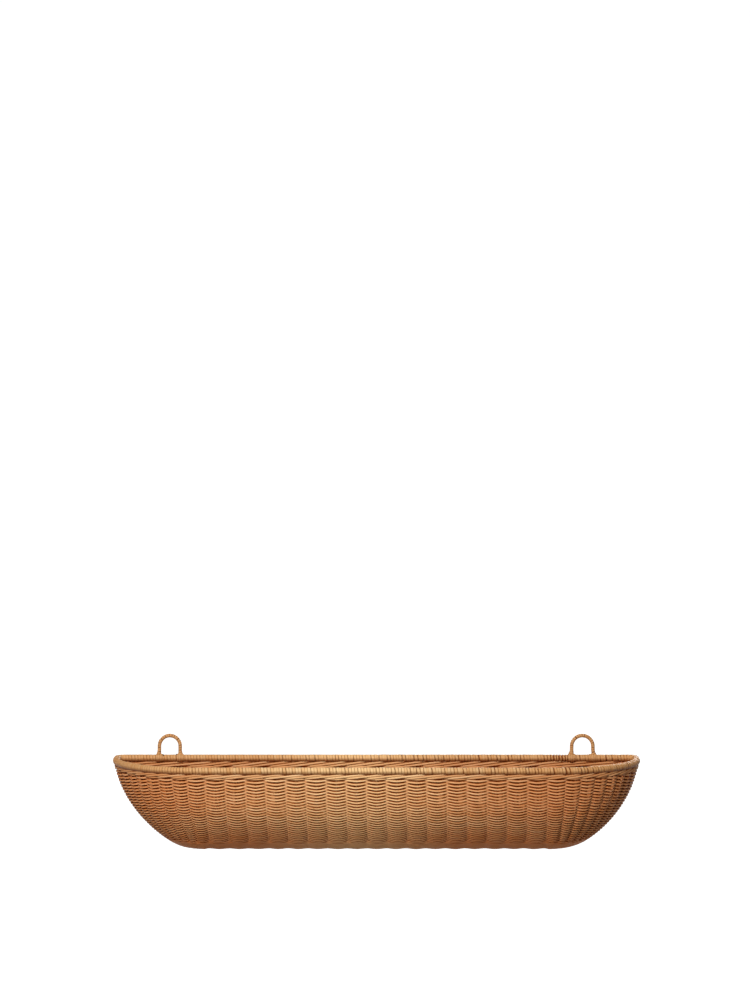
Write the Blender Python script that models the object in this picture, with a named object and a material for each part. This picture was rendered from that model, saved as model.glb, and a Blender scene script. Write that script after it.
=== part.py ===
"""Half-round wicker wall basket: bent stakes, woven panels, wale band, wrapped rim, hanging loops.

Metres, +Z up, +X along the basket, +Y towards the wall. Distances from the wall are
measured with d, which grows away from the wall, and place() turns them into world points.
"""
import math

import bmesh
import bpy
from mathutils import Vector

# Overall sizes
LENGTH = 0.800
DEPTH = 0.180
RIM_HEIGHT = 0.1265
BASE_DEPTH = 0.083
RIM_END_REACH = 0.139
BASE_END_REACH = 0.043
CORNER_RADIUS = 0.012

# How the curved walls leave the base and arrive at the rim
END_LEAN = math.radians(9)
FRONT_LEAN = math.radians(6)
END_FOOT_SHARE = 0.15
END_TOP_SHARE = 0.63
FRONT_FOOT_SHARE = 0.20
FRONT_TOP_SHARE = 0.65

# Canes and peel
STAKE_DIAMETER = 0.0036
WEAVER_DIAMETER = 0.0024
RIM_CORE_DIAMETER = 0.0090
RIM_PEEL = 0.0012
LOOP_CORE_DIAMETER = 0.0036
LOOP_PEEL = 0.0005
LASHING_PEEL = 0.0011

# Seams where the weavers cross between two stakes
SEAM_DEPTH = 0.0015
SEAM_WIDTH = 0.0080

# Wale band under the rim
WALE_HEIGHT = 0.0065
WALE_SWELL = 0.0006

# Stakes: how far apart, and how far the outermost cross stakes stand into the rounded ends
STAKE_PITCH = 0.0292
CROSS_OVERHANG = 0.0078
END_COUNT = 10
BACK_COUNT = 2
STAKE_BEND_RADIUS = 0.008
STAKE_TAIL = 0.005

# Hanging loops: the middle of each from the end of the basket, and their sizes
LOOP_INSET = 0.085
LOOP_WIDTH = 0.038
LOOP_RISE = 0.031
LOOP_SEAT_DEPTH = 0.0065
LASHING_WIDTH = 0.008
LASHING_START = math.radians(130)

# Tacks beside the feet of the left loop
TACK_OFFSET = 0.006
TACK_SHANK_DIAMETER = 0.0012
TACK_HEAD_DIAMETER = 0.0026
TACK_HEAD_HEIGHT = 0.0006
TACK_DEPTH = 0.0050

# Clearance between pieces that touch, and how far a cutter runs past what it cuts
FIT_GAP = 0.0003
OVERRUN = 0.002

# Derived sizes
WALL = STAKE_DIAMETER + 2 * WEAVER_DIAMETER
HALF_WALL = WALL / 2
STAKE_RADIUS = STAKE_DIAMETER / 2
SLOT_HALF = STAKE_RADIUS + FIT_GAP
RIM_CORE_RADIUS = RIM_CORE_DIAMETER / 2
RIM_BORE_RADIUS = RIM_CORE_RADIUS + FIT_GAP
RIM_RADIUS = RIM_BORE_RADIUS + RIM_PEEL
LASHING_BORE_RADIUS = RIM_RADIUS + FIT_GAP
LASHING_RADIUS = LASHING_BORE_RADIUS + LASHING_PEEL
LOOP_CORE_RADIUS = LOOP_CORE_DIAMETER / 2
LOOP_BORE_RADIUS = LOOP_CORE_RADIUS + FIT_GAP
LOOP_RADIUS = LOOP_BORE_RADIUS + LOOP_PEEL
RIM_HALF = LENGTH / 2 - RIM_RADIUS
STRAIGHT_HALF = RIM_HALF - RIM_END_REACH
RIM_FRONT = DEPTH - RIM_RADIUS
BACK_MID = HALF_WALL
END_CENTRE = BACK_MID + CORNER_RADIUS
RIM_BACK = RIM_RADIUS
STAKE_TOP = RIM_BORE_RADIUS + STAKE_RADIUS * math.tan(END_LEAN)
RISE = RIM_HEIGHT - HALF_WALL
CROSS_HALF = STRAIGHT_HALF + CROSS_OVERHANG
CROSS_STEPS = round(CROSS_HALF / STAKE_PITCH)
WALE_TOP = RIM_RADIUS + FIT_GAP
WALE_BOTTOM = WALE_TOP + WALE_HEIGHT
WEAVE_TOP = WALE_BOTTOM + FIT_GAP

# Sections and steps
STAKE_SIDES = 6
CORE_SIDES = 8
RIM_SIDES = 12
END_STEPS = 12
CORNER_STEPS = 4
BEND_STEPS = 3
ARCH_STEPS = 12
TABLE_STEPS = 400
SEARCH_STEPS = 30
DIFFERENCE_SHARE = 0.0002
RIM_SLOT_HALF_ANGLE = math.radians(31)
WEAVE_LEVEL_SHARES = (0.0, 0.09, 0.19, 0.31, 0.45, 0.62, 0.80, 1.0)

# Points of a wall row at a place where a stake stands: one outside and four round its slot
SLOTTED = 5


def place(x, d, z):
    """World point of a place x along the basket, d away from the wall and z above the underside."""
    return Vector((x, DEPTH / 2 - d, z))


def bezier(first, second, third, last, share):
    """One coordinate of a cubic curve."""
    rest = 1 - share
    return (
        rest**3 * first
        + 3 * rest**2 * share * second
        + 3 * rest * share**2 * third
        + share**3 * last
    )


# The curved wall: its middle surface, followed by turn (along the rim) and rise (base to rim)

def profile(foot_share, top_share, lean, reach, rise):
    """How far out and how far up the wall has come, as shares of the whole."""
    arrive_share = 1 - top_share * RISE * math.tan(lean) / reach
    out_share = bezier(0, foot_share, arrive_share, 1, rise)
    up_share = bezier(0, 0, 1 - top_share, 1, rise)
    return out_share, up_share


def end_point(angle, rise):
    """Point of the right-hand end wall: angle 0 at the back corner, a quarter turn at the front."""
    end_out, end_up = profile(
        END_FOOT_SHARE, END_TOP_SHARE, END_LEAN, RIM_END_REACH - BASE_END_REACH, rise
    )
    front_out, front_up = profile(
        FRONT_FOOT_SHARE, FRONT_TOP_SHARE, FRONT_LEAN, RIM_FRONT - BASE_DEPTH, rise
    )
    front_share = math.sin(angle) ** 2
    out = end_out + (front_out - end_out) * front_share
    up = end_up + (front_up - end_up) * front_share
    reach = BASE_END_REACH + (RIM_END_REACH - BASE_END_REACH) * out
    depth = BASE_DEPTH + (RIM_FRONT - BASE_DEPTH) * out - END_CENTRE
    return Vector((
        STRAIGHT_HALF + reach * math.cos(angle),
        END_CENTRE + depth * math.sin(angle),
        HALF_WALL + RISE * up,
    ))


def end_arc_table():
    """Rim length from the straight front to each angle of the end, at even steps of the angle."""
    lengths = [0.0]
    before = end_point(math.pi / 2, 1)
    for step in range(1, TABLE_STEPS + 1):
        point = end_point(math.pi / 2 * (1 - step / TABLE_STEPS), 1)
        lengths.append(lengths[-1] + (point - before).length)
        before = point
    return lengths


END_ARC = end_arc_table()
CORNER_TURN = STRAIGHT_HALF + END_ARC[-1]
LAST_TURN = CORNER_TURN + CORNER_RADIUS * math.pi / 2


def end_angle(length):
    """Angle of the end at a given rim length from the straight front."""
    for step in range(TABLE_STEPS):
        if length <= END_ARC[step + 1]:
            share = (length - END_ARC[step]) / (END_ARC[step + 1] - END_ARC[step])
            return math.pi / 2 * (1 - (step + share) / TABLE_STEPS)
    return 0.0


def wall_point(turn, rise):
    """Middle of the wall, as (x, d, z), at a signed rim length from the middle of the front."""
    side = -1 if turn < 0 else 1
    length = abs(turn)
    if length <= STRAIGHT_HALF:
        point = end_point(math.pi / 2, rise)
        point.x = length
    elif length <= CORNER_TURN:
        point = end_point(end_angle(length - STRAIGHT_HALF), rise)
    else:
        angle = (length - CORNER_TURN) / CORNER_RADIUS
        point = end_point(0, rise)
        point.x += CORNER_RADIUS * (math.cos(angle) - 1)
        point.y -= CORNER_RADIUS * math.sin(angle)
    point.x *= side
    return point


def wall_frame(turn, rise):
    """Point, sideways direction and outward normal of the wall, all as (x, d, z)."""
    small = LENGTH * DIFFERENCE_SHARE
    flat = min(max(turn, -CORNER_TURN + small), CORNER_TURN - small)
    low = max(rise - 1 / TABLE_STEPS, 0)
    high = min(rise + 1 / TABLE_STEPS, 1)
    along = wall_point(flat + small, rise) - wall_point(flat - small, rise)
    normal = (wall_point(flat, high) - wall_point(flat, low)).cross(along).normalized()
    if abs(turn) > CORNER_TURN:
        angle = (abs(turn) - CORNER_TURN) / CORNER_RADIUS
        normal = normal * math.cos(angle) + Vector((0, -1, 0)) * math.sin(angle)
    upward = (wall_point(turn, high) - wall_point(turn, low)).normalized()
    normal = (normal - upward * normal.dot(upward)).normalized()
    return wall_point(turn, rise), normal.cross(upward), normal


def level_frame(turn, rise):
    """The wall's frame with its directions laid flat, for an edge that runs level."""
    point, _, normal = wall_frame(turn, rise)
    flat = Vector((normal.x, normal.y, 0)).normalized()
    return point, flat.cross(Vector((0, 0, 1))), flat


def rise_below_rim(turn, distance):
    """The rise at which the wall is a given distance below the middle of the rim."""
    top = wall_point(turn, 1)
    low, high = 0.5, 1.0
    for _ in range(SEARCH_STEPS):
        middle = (low + high) / 2
        if (wall_point(turn, middle) - top).length > distance:
            low = middle
        else:
            high = middle
    return high


def cross_positions():
    """The x of the cross stakes at the rim, from left to right."""
    return [CROSS_HALF * step / CROSS_STEPS for step in range(-CROSS_STEPS, CROSS_STEPS + 1)]


def stake_turns():
    """Where the stakes of the front and the ends stand along the rim, from left to right."""
    cross = cross_positions()
    corner = (CORNER_TURN + LAST_TURN) / 2
    spacing = (corner - cross[-1]) / END_COUNT
    right = [cross[-1] + spacing * (step + 1) for step in range(END_COUNT)]
    left = [-turn for turn in reversed(right)]
    return left + cross + right


def back_positions():
    """The x of the extra stakes in the widening ends of the back."""
    last = cross_positions()[-1]
    spacing = (RIM_HALF - last) / (BACK_COUNT + 1)
    right = [last + spacing * (step + 1) for step in range(BACK_COUNT)]
    return [side * x for x in right for side in (-1, 1)]


def halfway(places):
    """Places halfway between neighbours in a sorted row."""
    return [(here + there) / 2 for here, there in zip(places, places[1:])]


# Mesh helpers

def material(name, colour, roughness):
    """Plain surface of the given colour."""
    result = bpy.data.materials.new(name)
    result.use_nodes = True
    shader = result.node_tree.nodes["Principled BSDF"]
    shader.inputs["Base Color"].default_value = (*colour, 1)
    shader.inputs["Roughness"].default_value = roughness
    shader.inputs["Metallic"].default_value = 0
    return result


def finish(name, surface, mesh_maker, smooth_angle=math.radians(40)):
    """Object from a closed bmesh, with its faces pointing out."""
    bmesh.ops.recalc_face_normals(mesh_maker, faces=mesh_maker.faces)
    mesh = bpy.data.meshes.new(name)
    mesh_maker.to_mesh(mesh)
    mesh_maker.free()
    mesh.shade_smooth()
    mesh.set_sharp_from_angle(angle=smooth_angle)
    mesh.materials.append(surface)
    result = bpy.data.objects.new(name, mesh)
    bpy.context.collection.objects.link(result)
    return result


def bridge(mesh_maker, ring, other, closed=True):
    """Quads between two rows of vertices."""
    count = len(ring)
    for index in range(count if closed else count - 1):
        after = (index + 1) % count
        mesh_maker.faces.new((ring[index], ring[after], other[after], other[index]))


def sweep(sections, closed=False):
    """Closed body through rows of world points, capped at both ends unless it is a ring."""
    mesh_maker = bmesh.new()
    rings = [[mesh_maker.verts.new(point) for point in section] for section in sections]
    for ring, other in zip(rings, rings[1:]):
        bridge(mesh_maker, ring, other)
    if closed:
        bridge(mesh_maker, rings[-1], rings[0])
    else:
        mesh_maker.faces.new(rings[0])
        mesh_maker.faces.new(rings[-1])
    return mesh_maker


def tube_sections(path, side, radius, sides, start=0.0):
    """Rings round a path that lies in one plane, side being the normal of that plane."""
    sections = []
    turns = [2 * math.pi * (step + start) / sides for step in range(sides)]
    for index, point in enumerate(path):
        before = path[max(index - 1, 0)]
        after = path[min(index + 1, len(path) - 1)]
        across = (after - before).normalized().cross(side)
        sections.append([
            point + (side * math.cos(turn) + across * math.sin(turn)) * radius for turn in turns
        ])
    return sections


def prism(mesh_maker, outline, bottom, top):
    """Upright prism over an outline of (x, d) points, added to a mesh."""
    lower = [mesh_maker.verts.new(place(x, d, bottom)) for x, d in outline]
    upper = [mesh_maker.verts.new(place(x, d, top)) for x, d in outline]
    bridge(mesh_maker, lower, upper)
    mesh_maker.faces.new(lower)
    mesh_maker.faces.new(upper)


def cut(target, name, mesh_maker):
    """Take a closed cutter mesh out of an object."""
    bmesh.ops.recalc_face_normals(mesh_maker, faces=mesh_maker.faces)
    mesh = bpy.data.meshes.new(name)
    mesh_maker.to_mesh(mesh)
    mesh_maker.free()
    cutter = bpy.data.objects.new(name, mesh)
    bpy.context.collection.objects.link(cutter)
    cutter.hide_render = True
    cutter.display_type = "WIRE"
    modifier = target.modifiers.new(name, "BOOLEAN")
    modifier.operation = "DIFFERENCE"
    modifier.solver = "EXACT"
    modifier.use_self = True
    modifier.object = cutter


# Woven walls that stakes run through

def comb_rows(stations, levels):
    """Rows of wall points: five at each stake (outside, then its slot) and two at a plain station."""
    rows = []
    for level in levels:
        row = []
        for frame_at, staked, outer_half, inner_half in stations:
            point, along, normal = frame_at(level)
            outside = place(*(point + normal * outer_half))
            inner = normal * -inner_half
            if staked:
                edges = [along * -SLOT_HALF, along * SLOT_HALF]
                bottom = normal * SLOT_HALF
                slot = [edges[0] + inner, edges[0] + bottom, edges[1] + bottom, edges[1] + inner]
                row.append([outside] + [place(*(point + offset)) for offset in slot])
            else:
                row.append([outside, place(*(point + inner))])
        rows.append(row)
    return rows


def comb_shell(rows, closed):
    """Closed body of a wall whose inner side has an open slot at each stake."""
    mesh_maker = bmesh.new()
    grid = [[[mesh_maker.verts.new(point) for point in station] for station in row] for row in rows]

    for lower, upper in zip(grid, grid[1:]):
        count = len(lower)
        for index in range(count if closed else count - 1):
            after = (index + 1) % count
            pairs = ((0, 0), (-1, 1))
            for here, there in pairs:
                mesh_maker.faces.new((
                    lower[index][here], lower[after][there], upper[after][there], upper[index][here]
                ))
        for low_station, high_station in zip(lower, upper):
            if len(low_station) == SLOTTED:
                bridge(mesh_maker, low_station[1:], high_station[1:], closed=False)

    for row in (grid[0], grid[-1]):
        count = len(row)
        for index in range(count if closed else count - 1):
            here = row[index]
            there = row[(index + 1) % count]
            right = [here[-1], here[-2]] if len(here) == SLOTTED else [here[-1]]
            left = [there[2], there[1]] if len(there) == SLOTTED else [there[1]]
            mesh_maker.faces.new((right[-1], here[0], there[0], left[0]))
            if len(right + left) > 2:
                mesh_maker.faces.new(right + left)
        for station in row:
            if len(station) == SLOTTED:
                mesh_maker.faces.new((station[0], station[2], station[3]))

    if not closed:
        for end in (0, -1):
            column = [row[end] for row in grid]
            bridge(mesh_maker, [s[0] for s in column], [s[1] for s in column], closed=False)
    return mesh_maker


def curved_stations(frame_maker, half, seam_depth):
    """Stations of the front, the ends and their rounded corners, from left to right."""
    turns = [(turn, True, half, half) for turn in stake_turns()]
    turns += [(side * CORNER_TURN, False, half, half) for side in (-1, 1)]
    turns += [(side * LAST_TURN, False, HALF_WALL, half) for side in (-1, 1)]
    if seam_depth:
        seams = halfway(stake_turns()[1:-1])
        turns += [(turn, False, half - seam_depth, half - seam_depth) for turn in seams]
    return [(frame_maker(turn), *shape) for turn, *shape in sorted(turns)]


def front_weave(surface):
    """Woven wall of the front, both ends and their rounded back corners."""
    def frame_maker(turn):
        top = rise_below_rim(turn, WEAVE_TOP)
        return lambda share: (wall_frame if share < 1 else level_frame)(turn, share * top)

    stations = curved_stations(frame_maker, HALF_WALL, SEAM_DEPTH)
    rows = comb_rows(stations, WEAVE_LEVEL_SHARES)
    return finish("front_weave", surface, comb_shell(rows, closed=False))


def wale_band(surface):
    """Twisted band of weavers under the rim, right round the basket."""
    def frame_maker(turn):
        return lambda distance: level_frame(turn, rise_below_rim(turn, distance))

    def back_frame_maker(x):
        return lambda distance: (
            Vector((x, BACK_MID, RIM_HEIGHT - distance)), Vector((-1, 0, 0)), Vector((0, -1, 0))
        )

    half = HALF_WALL + WALE_SWELL
    stations = curved_stations(frame_maker, half, 0)
    back = sorted(cross_positions() + back_positions(), reverse=True)
    stations += [(back_frame_maker(x), True, HALF_WALL, half) for x in back]
    rows = comb_rows(stations, (WALE_BOTTOM, WALE_TOP))
    return finish("wale_band", surface, comb_shell(rows, closed=True))


def back_edge():
    """Right-hand edge of the flat back as (x, z) points, clear of the rounded corner, base to top."""
    top = rise_below_rim(CORNER_TURN, WEAVE_TOP)
    points = []
    for share in WEAVE_LEVEL_SHARES:
        point, _, normal = wall_frame(CORNER_TURN, share * top)
        edge = point - normal * FIT_GAP
        points.append((edge.x - CORNER_RADIUS, edge.z))
    return points


def back_edge_height(x):
    """How high the edge of the back is at a given x."""
    points = back_edge()
    for (low_x, low_z), (high_x, high_z) in zip(points, points[1:]):
        if x <= high_x:
            return low_z + (high_z - low_z) * (x - low_x) / (high_x - low_x)
    return points[-1][1]


def back_weave(surface):
    """Flat woven back, with a rounded lower edge and an upright slot for each stake."""
    top = RIM_HEIGHT - WEAVE_TOP
    edge = back_edge()
    foot = edge[0][0] - FIT_GAP
    right = [(foot, 0.0), (foot, edge[0][1])] + edge[1:-1] + [(edge[-1][0], top)]
    outline = right + [(-x, z) for x, z in reversed(right)]

    mesh_maker = bmesh.new()
    outer = [mesh_maker.verts.new(place(x, 0, z)) for x, z in outline]
    inner = [mesh_maker.verts.new(place(x, WALL, z)) for x, z in outline]
    bridge(mesh_maker, outer, inner)
    mesh_maker.faces.new(outer)
    mesh_maker.faces.new(inner)
    lower = mesh_maker.edges.get((outer[0], outer[-1]))
    bmesh.ops.bevel(mesh_maker, geom=[lower], offset=HALF_WALL, segments=BEND_STEPS,
                    profile=0.5, affect="EDGES")
    result = finish("back_weave", surface, mesh_maker)

    slots = bmesh.new()
    for x in cross_positions():
        slot_box(slots, x, HALF_WALL - SLOT_HALF, top + OVERRUN)
    for x in back_positions():
        slot_box(slots, x, -OVERRUN, top + OVERRUN)
    cut(result, "back_slots", slots)

    seams = bmesh.new()
    for x in halfway(sorted(cross_positions() + back_positions())):
        for face, inward in ((0, 1), (WALL, -1)):
            seam_wedge(seams, x, face, inward, top)
    cut(result, "back_seams", seams)
    return result


def seam_wedge(mesh_maker, x, face, inward, top):
    """Cutter for one upright seam in a face of the back, narrowing to its depth inside the weave."""
    slope = SEAM_DEPTH / (SEAM_WIDTH / 2)
    beyond = (SEAM_DEPTH + OVERRUN) / slope
    outside = face - inward * OVERRUN
    outline = [(x - beyond, outside), (x + beyond, outside), (x, face + inward * SEAM_DEPTH)]
    prism(mesh_maker, outline, -OVERRUN, top + OVERRUN)


def slot_box(mesh_maker, x, bottom, top):
    """Cutter for one upright slot that is open towards the inside of the basket."""
    near, far = BACK_MID - SLOT_HALF, WALL + OVERRUN
    outline = [(x - SLOT_HALF, near), (x + SLOT_HALF, near), (x + SLOT_HALF, far), (x - SLOT_HALF, far)]
    prism(mesh_maker, outline, bottom, top)


def slot_strip(mesh_maker, start, end):
    """Cutter for one slot in the base, along the line between two (x, d) places."""
    along = (Vector(end) - Vector(start)).normalized()
    across = Vector((-along.y, along.x)) * SLOT_HALF
    outline = [start + across, start - across, end - across, end + across]
    prism(mesh_maker, outline, HALF_WALL - SLOT_HALF, WALL + OVERRUN)


def base_outline():
    """Right-hand half of the base's outline, with a point at each stake that turns round the end."""
    turns = [turn for turn in stake_turns() if turn >= cross_positions()[-1]]
    points = []
    for turn in sorted(turns + [CORNER_TURN, LAST_TURN]):
        foot, along, normal = wall_frame(turn, 0)
        if turn <= CORNER_TURN:
            outward = (wall_point(turn, 1).xy - foot.xy).normalized()
            points.append(foot.xy - outward * FIT_GAP)
        else:
            slot_side = SLOT_HALF if turn < LAST_TURN else 0
            edge = foot - along * slot_side - normal * HALF_WALL
            points.append(edge.xy + Vector((-FIT_GAP, FIT_GAP)))
    return points


def base_weave(surface):
    """Flat woven base, with slots for the cross stakes and for the tails of the end stakes."""
    right = base_outline()
    mesh_maker = bmesh.new()
    prism(mesh_maker, right + [Vector((-p.x, p.y)) for p in reversed(right)], 0, WALL)
    result = finish("base_weave", surface, mesh_maker)

    slots = bmesh.new()
    for x in cross_positions():
        foot = wall_point(x, 0).xy
        back = Vector((x, WALL))
        along = (foot - back).normalized() * OVERRUN
        slot_strip(slots, back - along, foot + along)
    for turn in tailed_turns():
        foot, tail = tail_line(turn)
        along = (foot - tail).normalized()
        slot_strip(slots, tail - along * FIT_GAP, foot + along * OVERRUN)
    cut(result, "base_slots", slots)
    return result


# Stakes

def tailed_turns():
    """Turns of the end stakes whose tails lie in the base, which is all but the corner stakes."""
    return [turn for turn in stake_turns() if cross_positions()[-1] < abs(turn) < CORNER_TURN]


def tail_line(turn):
    """Foot of an end stake at the edge of the base, and the end of its tail, as (x, d)."""
    foot = wall_point(turn, 0).xy
    outward = (wall_point(turn, 1).xy - foot).normalized()
    return foot, foot - outward * STAKE_TAIL


def rising_path(turn):
    """Stake points from the edge of the base up the curved wall to just below the rim's core."""
    top = rise_below_rim(turn, WEAVE_TOP)
    rises = [share * top for share in WEAVE_LEVEL_SHARES] + [rise_below_rim(turn, STAKE_TOP)]
    return [wall_point(turn, rise) for rise in rises]


def stake(name, surface, path, side):
    """One cane along a path of (x, d, z) points."""
    points = [place(*point) for point in path]
    sections = tube_sections(points, side, STAKE_RADIUS, STAKE_SIDES)
    return finish(name, surface, sweep(sections))


def cross_stakes(surface):
    """Canes bent from the back rim down, under the base and up the front."""
    for number, x in enumerate(cross_positions(), 1):
        path = [Vector((x, BACK_MID, RIM_HEIGHT - STAKE_TOP))]
        for step in range(BEND_STEPS + 1):
            angle = math.pi / 2 * step / BEND_STEPS
            path.append(Vector((
                x,
                BACK_MID + STAKE_BEND_RADIUS * (1 - math.cos(angle)),
                HALF_WALL + STAKE_BEND_RADIUS * (1 - math.sin(angle)),
            )))
        path += rising_path(x)
        stake(f"cross_stake_{number:02d}", surface, path, Vector((1, 0, 0)))


def end_stakes(surface):
    """Canes that fan out of the base round each end, the last one standing in the back corner."""
    last = cross_positions()[-1]
    tailed = tailed_turns()
    for side, label in ((-1, "left"), (1, "right")):
        turns = sorted((turn for turn in stake_turns() if turn * side > last), key=abs)
        for number, turn in enumerate(turns, 1):
            path = rising_path(turn)
            if turn in tailed:
                tail = tail_line(turn)[1]
                path.insert(0, Vector((tail.x, tail.y, HALF_WALL)))
            outward = place(*path[-1]) - place(*path[0])
            across = outward.cross(Vector((0, 0, 1))).normalized()
            stake(f"{label}_end_stake_{number:02d}", surface, path, across)


def back_stakes(surface):
    """Short upright canes in the widening ends of the back."""
    for number, x in enumerate(sorted(back_positions()), 1):
        foot = back_edge_height(abs(x) + STAKE_RADIUS) + FIT_GAP
        path = [
            Vector((x, BACK_MID, foot)),
            Vector((x, BACK_MID, RIM_HEIGHT - STAKE_TOP)),
        ]
        stake(f"back_stake_{number}", surface, path, Vector((1, 0, 0)))


# Rim

def rim_path():
    """Closed path of the rim as (centre, outward direction, slot angle) in world coordinates."""
    right = []
    back_slot = math.atan2(RIM_BACK - BACK_MID, RIM_BORE_RADIUS)
    for step in range(END_STEPS + 1):
        angle = math.pi / 2 * (1 - step / END_STEPS)
        lean = END_LEAN + (FRONT_LEAN - END_LEAN) * math.sin(angle) ** 2
        right.append((end_point(angle, 1).xy, -lean))
    for step in range(1, CORNER_STEPS + 1):
        angle = math.pi / 2 * step / CORNER_STEPS
        x = RIM_HALF - CORNER_RADIUS * (1 - math.cos(angle))
        d = END_CENTRE - (END_CENTRE - RIM_BACK) * math.sin(angle)
        slot = back_slot * math.sin(angle) - END_LEAN * math.cos(angle)
        right.append((Vector((x, d)), slot))
    left = [(Vector((-point.x, point.y)), slot) for point, slot in reversed(right)]
    plan = right + left
    path = []
    for index, (point, slot) in enumerate(plan):
        before = plan[index - 1][0]
        after = plan[(index + 1) % len(plan)][0]
        leave, arrive = (after - point).normalized(), (point - before).normalized()
        along = (leave + arrive).normalized()
        outward = place(-along.y, along.x, 0) - place(0, 0, 0)
        path.append((place(point.x, point.y, RIM_HEIGHT), outward, slot))
    return path


def rim_point(centre, outward, angle, radius):
    """Point round the rim's middle line; angles start straight down and grow towards the outside."""
    return centre + outward * math.sin(angle) * radius - Vector((0, 0, math.cos(angle) * radius))


def rim_turns(slot):
    """Angles round the rim from one lip of the wrap's slot over the top to the other."""
    even = [2 * math.pi * step / RIM_SIDES for step in range(2, RIM_SIDES - 1)]
    return [slot + RIM_SLOT_HALF_ANGLE] + even + [slot + 2 * math.pi - RIM_SLOT_HALF_ANGLE]


def rim_core(surface, holes):
    """Round pole that gives the rim its shape."""
    sections = [
        [rim_point(centre, outward, turn, RIM_CORE_RADIUS) for turn in rim_turns(slot) + [slot]]
        for centre, outward, slot in rim_path()
    ]
    result = finish("rim_core", surface, sweep(sections, closed=True))
    cut(result, "rim_core_holes", holes)
    return result


def rim_wrap(surface, holes):
    """Peel wound round the rim's core, open below where the stakes come in."""
    sections = []
    for centre, outward, slot in rim_path():
        outer = [rim_point(centre, outward, turn, RIM_RADIUS) for turn in rim_turns(slot)]
        inner = [rim_point(centre, outward, turn, RIM_BORE_RADIUS) for turn in rim_turns(slot)]
        sections.append(outer + list(reversed(inner)))
    result = finish("rim_wrap", surface, sweep(sections, closed=True))
    cut(result, "rim_wrap_holes", holes)
    return result


# Hanging loops

def turned(mesh_maker, x, profile_points, sides=CORE_SIDES):
    """Upright turned body over the back rim, through (radius, height) points, added to a mesh."""
    centre = place(x, RIM_BACK, 0)
    rings = []
    for radius, height in profile_points:
        turns = [2 * math.pi * (step + 0.5) / sides for step in range(sides)]
        rings.append([
            mesh_maker.verts.new(
                centre + Vector((radius * math.cos(turn), radius * math.sin(turn), height))
            )
            for turn in turns
        ])
    for ring, other in zip(rings, rings[1:]):
        bridge(mesh_maker, ring, other)
    mesh_maker.faces.new(rings[0])
    mesh_maker.faces.new(rings[-1])


def loop_legs():
    """The x of each leg: the outer and the inner leg of the left loop, then of the right loop."""
    half = LOOP_WIDTH / 2 - LOOP_RADIUS
    middle = LENGTH / 2 - LOOP_INSET
    return {
        "left": (-middle - half, -middle + half),
        "right": (middle + half, middle - half),
    }


def tack_positions():
    """The x of the tacks, each beside a leg of the left loop, on the side of the loop's middle."""
    outer, inner = loop_legs()["left"]
    return outer + TACK_OFFSET, inner - TACK_OFFSET


def rim_holes():
    """Cutter for the leg seats and tack holes in the rim."""
    holes = bmesh.new()
    above = RIM_HEIGHT + RIM_RADIUS + OVERRUN
    seat = RIM_HEIGHT + RIM_CORE_RADIUS - LOOP_SEAT_DEPTH - FIT_GAP
    for legs in loop_legs().values():
        for x in legs:
            turned(holes, x, [(LOOP_BORE_RADIUS, seat), (LOOP_BORE_RADIUS, above)])
    radius = TACK_SHANK_DIAMETER / 2 + FIT_GAP
    bottom = RIM_HEIGHT + RIM_RADIUS - TACK_DEPTH - FIT_GAP
    for x in tack_positions():
        turned(holes, x, [(radius, bottom), (radius, above)])
    return holes


def loop_path(legs, foot):
    """Upright path of a loop from one foot over the arch to the other, in world coordinates."""
    middle = sum(legs) / 2
    half = abs(legs[0] - legs[1]) / 2
    spring = RIM_HEIGHT + RIM_RADIUS + LOOP_RISE - LOOP_RADIUS - half
    path = [place(middle - half, RIM_BACK, foot)]
    for step in range(ARCH_STEPS + 1):
        angle = math.pi * (1 - step / ARCH_STEPS)
        path.append(place(middle + half * math.cos(angle), RIM_BACK, spring + half * math.sin(angle)))
    path.append(place(middle + half, RIM_BACK, foot))
    return path


def loop_core(name, surface, legs):
    """Bent cane of a loop, its feet seated in the rim's core."""
    path = loop_path(legs, RIM_HEIGHT + RIM_CORE_RADIUS - LOOP_SEAT_DEPTH)
    return finish(name, surface, sweep(loop_sections(path, LOOP_CORE_RADIUS)))


def loop_sections(path, radius):
    """Rings round a loop's path, turned half a side so that their flats face front and back."""
    return tube_sections(path, Vector((0, 1, 0)), radius, CORE_SIDES, start=0.5)


def loop_wrap(name, surface, legs):
    """Peel wound round the loop's cane, standing on the wrapped rim."""
    path = loop_path(legs, RIM_HEIGHT + RIM_RADIUS + FIT_GAP)
    mesh_maker = bmesh.new()
    skins = []
    for radius in (LOOP_RADIUS, LOOP_BORE_RADIUS):
        rings = [
            [mesh_maker.verts.new(point) for point in section]
            for section in loop_sections(path, radius)
        ]
        for ring, other in zip(rings, rings[1:]):
            bridge(mesh_maker, ring, other)
        skins.append(rings)
    for end in (0, -1):
        bridge(mesh_maker, skins[0][end], skins[1][end])
    return finish(name, surface, mesh_maker)


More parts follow.
